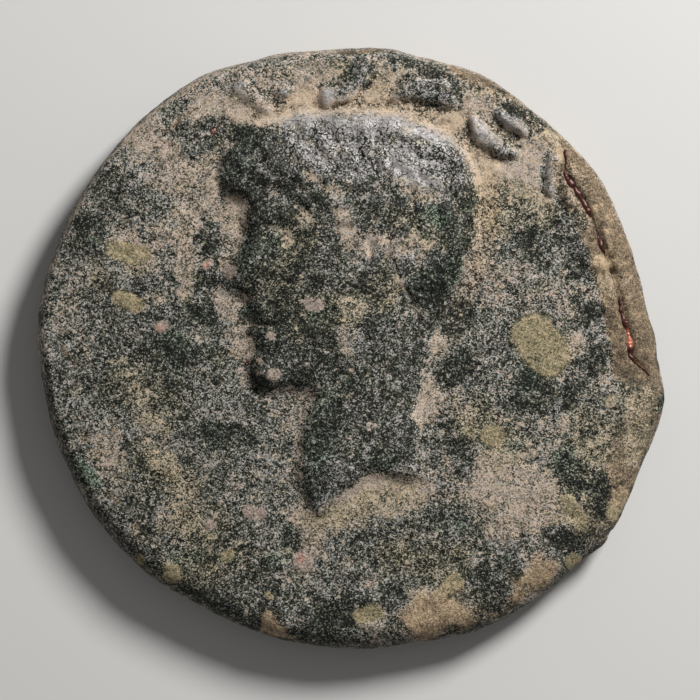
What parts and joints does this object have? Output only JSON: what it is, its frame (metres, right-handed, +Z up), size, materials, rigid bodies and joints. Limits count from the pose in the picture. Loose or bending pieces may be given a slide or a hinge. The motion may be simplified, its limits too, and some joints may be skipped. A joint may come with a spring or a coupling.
{
  "type": "roman bronze coin",
  "caption": "Worn, roughly round struck bronze coin with a head in profile inside a border of plain strokes; it lies flat on its reverse.",
  "frame": {"origin": "centre of the underside: the middle of the coin's bounding box, at the level of the plane that its reverse lies on", "axes": "+Z up out of the obverse, +Y towards the top of the head, +X to the right as the obverse is seen"},
  "size_m": [0.027, 0.026, 0.0035],
  "materials": {
    "patinated_bronze": "old worn bronze under a dark, mottled patina with pale earth in the hollows; matt to faintly satin"
  },
  "bodies": {
    "root": {"bronze_coin": "patinated_bronze"}
  },
  "joints": []
}
